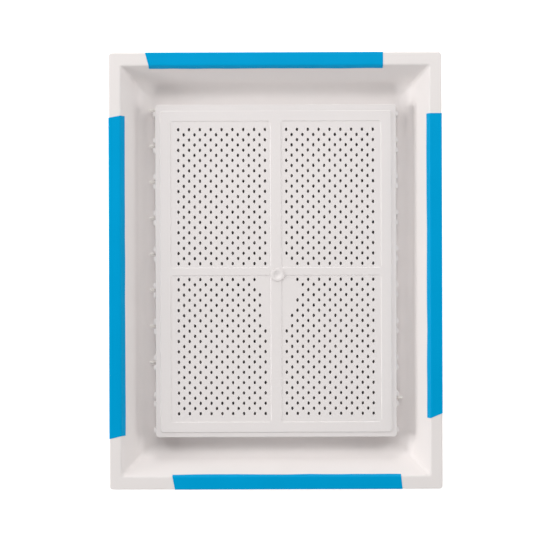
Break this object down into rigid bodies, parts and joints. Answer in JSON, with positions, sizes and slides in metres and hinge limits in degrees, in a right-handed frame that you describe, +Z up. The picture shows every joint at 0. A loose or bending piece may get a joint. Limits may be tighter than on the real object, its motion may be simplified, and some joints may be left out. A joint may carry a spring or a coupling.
{
  "type": "nest tray",
  "caption": "Shallow moulded nest tray with a flat rim, a raised perforated nest floor on loose cross rods and tape strips on the rim.",
  "frame": {"origin": "middle of the tray's underside", "axes": "+Z up, +Y along the tray's length towards the back, +X across it to the right"},
  "size_m": [0.3066, 0.4016, 0.0358],
  "materials": {
    "tray_plastic": "satin off-white moulded plastic",
    "floor_plastic": "finely grained off-white moulded plastic",
    "rod_plastic": "smooth off-white plastic rod",
    "rim_tape": "glossy light blue film tape"
  },
  "bodies": {
    "tray": {"nest_tray": "tray_plastic", "rim_tape_back": "rim_tape", "rim_tape_right": "rim_tape", "rim_tape_front": "rim_tape", "rim_tape_left": "rim_tape"},
    "floor": {"nest_floor": "floor_plastic"},
    "rod_1": {"cross_rod_1": "rod_plastic"},
    "rod_2": {"cross_rod_2": "rod_plastic"},
    "rod_3": {"cross_rod_3": "rod_plastic"},
    "rod_4": {"cross_rod_4": "rod_plastic"},
    "rod_5": {"cross_rod_5": "rod_plastic"},
    "rod_6": {"cross_rod_6": "rod_plastic"},
    "rod_7": {"cross_rod_7": "rod_plastic"},
    "rod_8": {"cross_rod_8": "rod_plastic"},
    "rod_9": {"cross_rod_9": "rod_plastic"}
  },
  "joints": [
    {"name": "floor_lift", "type": "slide", "parent": "tray", "child": "floor", "axis": [0, 0, 1], "range_m": [0, 0.05]},
    {"name": "rod_1_slide", "type": "slide", "parent": "floor", "child": "rod_1", "axis": [1, 0, 0], "range_m": [0, 0.0066]},
    {"name": "rod_2_slide", "type": "slide", "parent": "floor", "child": "rod_2", "axis": [1, 0, 0], "range_m": [0, 0.0066]},
    {"name": "rod_3_slide", "type": "slide", "parent": "floor", "child": "rod_3", "axis": [1, 0, 0], "range_m": [0, 0.0066]},
    {"name": "rod_4_slide", "type": "slide", "parent": "floor", "child": "rod_4", "axis": [1, 0, 0], "range_m": [0, 0.0066]},
    {"name": "rod_5_slide", "type": "slide", "parent": "floor", "child": "rod_5", "axis": [1, 0, 0], "range_m": [0, 0.0066]},
    {"name": "rod_6_slide", "type": "slide", "parent": "floor", "child": "rod_6", "axis": [1, 0, 0], "range_m": [0, 0.0066]},
    {"name": "rod_7_slide", "type": "slide", "parent": "floor", "child": "rod_7", "axis": [1, 0, 0], "range_m": [0, 0.0066]},
    {"name": "rod_8_slide", "type": "slide", "parent": "floor", "child": "rod_8", "axis": [1, 0, 0], "range_m": [0, 0.0066]},
    {"name": "rod_9_slide", "type": "slide", "parent": "floor", "child": "rod_9", "axis": [1, 0, 0], "range_m": [-0.0066, 0]}
  ]
}
